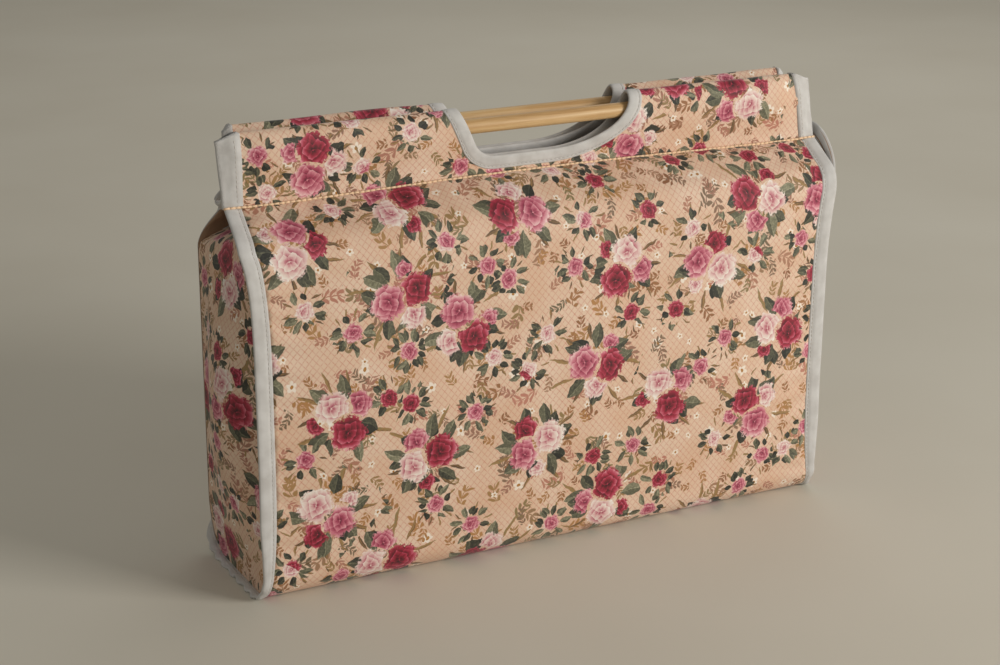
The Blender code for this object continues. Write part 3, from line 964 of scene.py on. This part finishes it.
def addCasingTape(side, end):
    # round the closed end of a casing, thick at the dowel and flat at its outer edge
    sign = endSign[end]
    width = casing["tapeWidth"]
    seed = 31 + 2 * (side == "back") + (end == "right")

    def station(share):
        height = mix(stitchHeight, casingTop, share)
        edge = casingEnd(side, sign, share)
        level = min(height, mix(dowelHeight, casingTop, casing["tapeTop"]))
        inner = casingHalf(level, 1) + casing["tapeLift"]
        spread = 0.92 + 0.18 * share + 0.03 * ripple(share, 0, 0.3, seed)
        if side == "back":
            spread *= mix(1, tape["backSpread"], smooth(share / 0.2))

        def point(inset, lift):
            outer = smooth(inset / width)
            out = lift * mix(inner, tape["full"], outer)
            out += casing["tapeWave"] * ripple(share, inset * 100, 0.25, seed + 2)
            spot = casingPoint(side, edge + sign * inset * spread, 0, height, 0, out)
            spot.z -= casing["tapeDroop"] * smooth((share - 0.8) / 0.2) * outer
            return spot

        return point

    stations = [station(share) for share in evenShares(casing["tapeSteps"])]
    face = [(-casing["tapeLap"], 1)] + [(width * share, 1) for share in (0.1, 0.25, 0.4, 0.55, 0.7, 0.85)]
    face += [(width - 0.0008, 0.85), (width - 0.0002, 0.45)]
    section = face + [(width, 0)] + [(inset, -lift) for inset, lift in reversed(face)]
    return addTape(f"{side}{end.title()}CasingTape", stations, section, (1, -1),
                   flip=sign == sideSign[side], stop=-3)


# End gussets, with a hem of the same tape on the free top edge

gusset = {
    "columns": 70,
    "rows": 120,
    "arcRows": 16,
    "inset": 0.0012,
    "swell": 0.014,
    "dent": 0.003,
    "dentSize": 0.06,
    "mapShift": (0.37, 0.05),  # so that its print isn't the walls' again
    "corner": 0.222,  # height of the free edge at the walls
    "arch": 0.040,
    "archPower": 1.2,
    "backCorner": 0.229,  # the left one is fuller towards the back
    "backArch": 0.033,
    "backPower": 0.45,
    "hemWidth": 0.007,
    "hemFold": 0.001,  # how far the hem stands over the cloth's edge
    "hemFull": 0.0017,
    "hemSteps": 60,
}
tuckIn = {  # the left one folds in under the flaps
    "crease": 0.229,
    "slope": 0.013,  # fall of the crease from the middle to the back
    "angle": 1.08,
    "soft": 0.004,
}
spreadOut = {"lean": 0.021, "length": 0.050}  # the right one stands out past them


def gussetTop(end, reach):
    rise = max(1 - reach ** 2, 0)
    top = gusset["corner"] + gusset["arch"] * rise ** gusset["archPower"]
    if end == "right":
        return top
    back = gusset["backCorner"] + gusset["backArch"] * rise ** gusset["backPower"]
    return mix(top, back, smooth((reach + 0.6) / 0.8))


def gussetPoint(end, reach, depth, height, lift=0):
    sign = endSign[end]
    seed = 41 if end == "left" else 43
    slack = (1 - reach ** 2) ** 2
    x = abs(mix(seamEdge("front", sign, height), seamEdge("back", sign, height), (reach + 1) / 2))
    x += gusset["swell"] * slack * sin(pi * min(height / foldHeight, 1)) ** 2
    dent = gusset["dent"] * ripple(reach * depth, height, gusset["dentSize"], seed)
    x += dent * slack * smooth(height / 0.05)
    if end == "left":
        rise = max(height - tuckIn["crease"] + tuckIn["slope"] * reach, 0)
        turned = rise * rise / (rise + tuckIn["soft"])
        angle = tuckIn["angle"] * smooth(rise / tuckIn["soft"])
        x += lift * cos(angle) - turned * sin(tuckIn["angle"])
        height += lift * sin(angle) - turned * (1 - cos(tuckIn["angle"]))
    else:
        share = 1 - (gussetTop(end, reach) - height) / spreadOut["length"]
        x += lift + spreadOut["lean"] * (1 - reach ** 6) * max(share, 0) ** 1.5
    return Vector((sign * x, reach * depth, height))


def addGusset(end):
    inner = rollRadius - gusset["inset"]
    arcRows = gusset["arcRows"]

    def place(across, along):
        reach = across * 2 - 1
        row = along * gusset["rows"]
        if row <= arcRows:
            angle = pi / 2 * row / arcRows
            depth = halfDepth - rollRadius + inner * sin(angle)
            height = rollRadius - inner * cos(angle)
        else:
            depth = halfDepth - gusset["inset"]
            top = gussetTop(end, reach) - gusset["hemFold"]
            height = mix(rollRadius, top, (row - arcRows) / (gusset["rows"] - arcRows))
        across, up = gusset["mapShift"]
        return gussetPoint(end, reach, depth, height), (across - endSign[end] * reach * depth, height + up)

    return addCloth(end + "Gusset", gusset["columns"], gusset["rows"], place, end == "left")


def addHem(end):
    def station(share):
        reach = share * 2 - 1

        def point(inset, lift):
            depth = halfDepth - gusset["inset"]
            height = gussetTop(end, reach) + inset - gusset["hemWidth"] + gusset["hemFold"]
            return gussetPoint(end, reach, depth, height, lift - strip["thickness"] / 2)
        return point

    stations = [station(share) for share in evenShares(gusset["hemSteps"])]
    section = tapeSection(gusset["hemWidth"], 0, gusset["hemFull"])
    return addTape(end + "GussetHem", stations, section, [tape["edge"]], flip=end == "left")


# Dowels, turned from round stock

dowel = {"sides": 48, "chamfer": 0.0009}


def addDowel(side):
    low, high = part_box(side + "_dowel")
    radius = (high.z - low.z) / 2
    form = bmesh.new()
    place = Matrix.Translation((low + high) / 2) @ Matrix.Rotation(pi / 2, 4, "Y")
    bmesh.ops.create_cone(form, cap_ends=True, segments=dowel["sides"], radius1=radius, radius2=radius,
                          depth=high.x - low.x, matrix=place)
    rims = [edge for edge in form.edges if abs(edge.verts[0].co.x - edge.verts[1].co.x) < radius]
    bmesh.ops.bevel(form, geom=rims, offset=dowel["chamfer"], offset_type="OFFSET", affect="EDGES",
                    segments=3, profile=0.5, material=-1)
    for face in form.faces:
        face.smooth = len(face.verts) == 4
    return addPiece(side + "Dowel", form, dowelWood)


def settle(piece, slot, *nodes):
    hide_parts(*nodes)


for side in sideSign:
    cloth = addStrip(side)
    bendAtFold(cloth)
    shared = ["base"] if side == "front" else []  # the front strip also stands for the base
    settle(cloth, "print_cotton", side + "_wall", side + "_flap", *shared)
    tunnel, tunnelLength = addCasing(side)
    thicken(tunnel, casing["wall"])
    bendAtStitch(tunnel)
    settle(tunnel, "print_cotton", side + "_casing")
    gripTape = addGripTape(side)
    bendAtStitch(gripTape)
    settle(gripTape, "white_tape", side + "_grip_binding")
    for end in endSign:
        seamTape = addSeamTape(side, end)
        bendAtFold(seamTape)
        shared = [end + "_seam_binding"] if side == "front" else []
        settle(seamTape, "white_tape", f"{side}_{end}_flap_binding", *shared)
        casingTape = addCasingTape(side, end)
        bendAtStitch(casingTape)
        settle(casingTape, "white_tape", f"{side}_{end}_casing_binding")
    rod = addDowel(side)
    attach(rod, side + "_rod")
    settle(rod, "dowel_wood", side + "_dowel")
    print(side, "side made")

for end in endSign:
    panel = addGusset(end)
    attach(panel, "bag")
    settle(panel, "print_cotton", end + "_gusset")
    hem = addHem(end)
    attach(hem, "bag")
    settle(hem, "white_tape", end + "_gusset_hem")
print("ends made")


# Floor, light and camera

studio = {
    "floorHalf": 6,
    "keyPower": 38,
    "keySize": 1.0,
    "keyPlace": (1.40, -1.80, 0.86),
    "keyTarget": (0, 0, 0.15),
    "backPower": 4,
    "backSize": 1.2,
    "backPlace": (1.1, 1.4, 1.3),
    "backTarget": (0.5, 0.7, 0),
    "lampColour": "#fffaf2",
    "worldColour": "#e8e4da",
    "worldStrength": 0.33,
}
photo = {
    "width": 1000,
    "focal": 2059.06,  # in pixels of that width
    "place": (-0.62958, -1.17665, 0.58750),
    "yaw": 27.4525,  # turned from +Y towards +X
    "pitch": 18.606,  # looking down
    "roll": 0.2507,
}


def addFloor():
    form = bmesh.new()
    bmesh.ops.create_grid(form, x_segments=1, y_segments=1, size=studio["floorHalf"])
    addPiece("floor", form, paleFloor)


def addLight(name, place, target, size, power):
    lamp = bpy.data.lights.new(name, "AREA")
    lamp.size = size
    lamp.energy = power
    lamp.color = hexColour(studio["lampColour"])[:3]
    light = addObject(name, lamp)
    light.location = place
    light.rotation_euler = (Vector(target) - Vector(place)).to_track_quat("-Z", "Y").to_euler()


def addCamera():
    yaw, pitch, roll = (radians(photo[name]) for name in ("yaw", "pitch", "roll"))
    aim = Matrix.Rotation(-yaw, 4, "Z") @ Matrix.Rotation(pi / 2 - pitch, 4, "X")
    data = bpy.data.cameras.new("camera")
    data.sensor_width = 36
    data.lens = photo["focal"] / photo["width"] * data.sensor_width
    camera = addObject("camera", data)
    camera.matrix_world = Matrix.Translation(photo["place"]) @ aim @ Matrix.Rotation(roll, 4, "Z")
    scene.camera = camera


addFloor()
for name in ("key", "back"):
    addLight(name + "Light", *(studio[name + part] for part in ("Place", "Target", "Size", "Power")))
world = bpy.data.worlds.new("studio")
world.use_nodes = True
background = world.node_tree.nodes["Background"].inputs
background["Color"].default_value = hexColour(studio["worldColour"])
background["Strength"].default_value = studio["worldStrength"]
scene.world = world
addCamera()
scene.view_settings.view_transform = "Standard"
print("stage made")
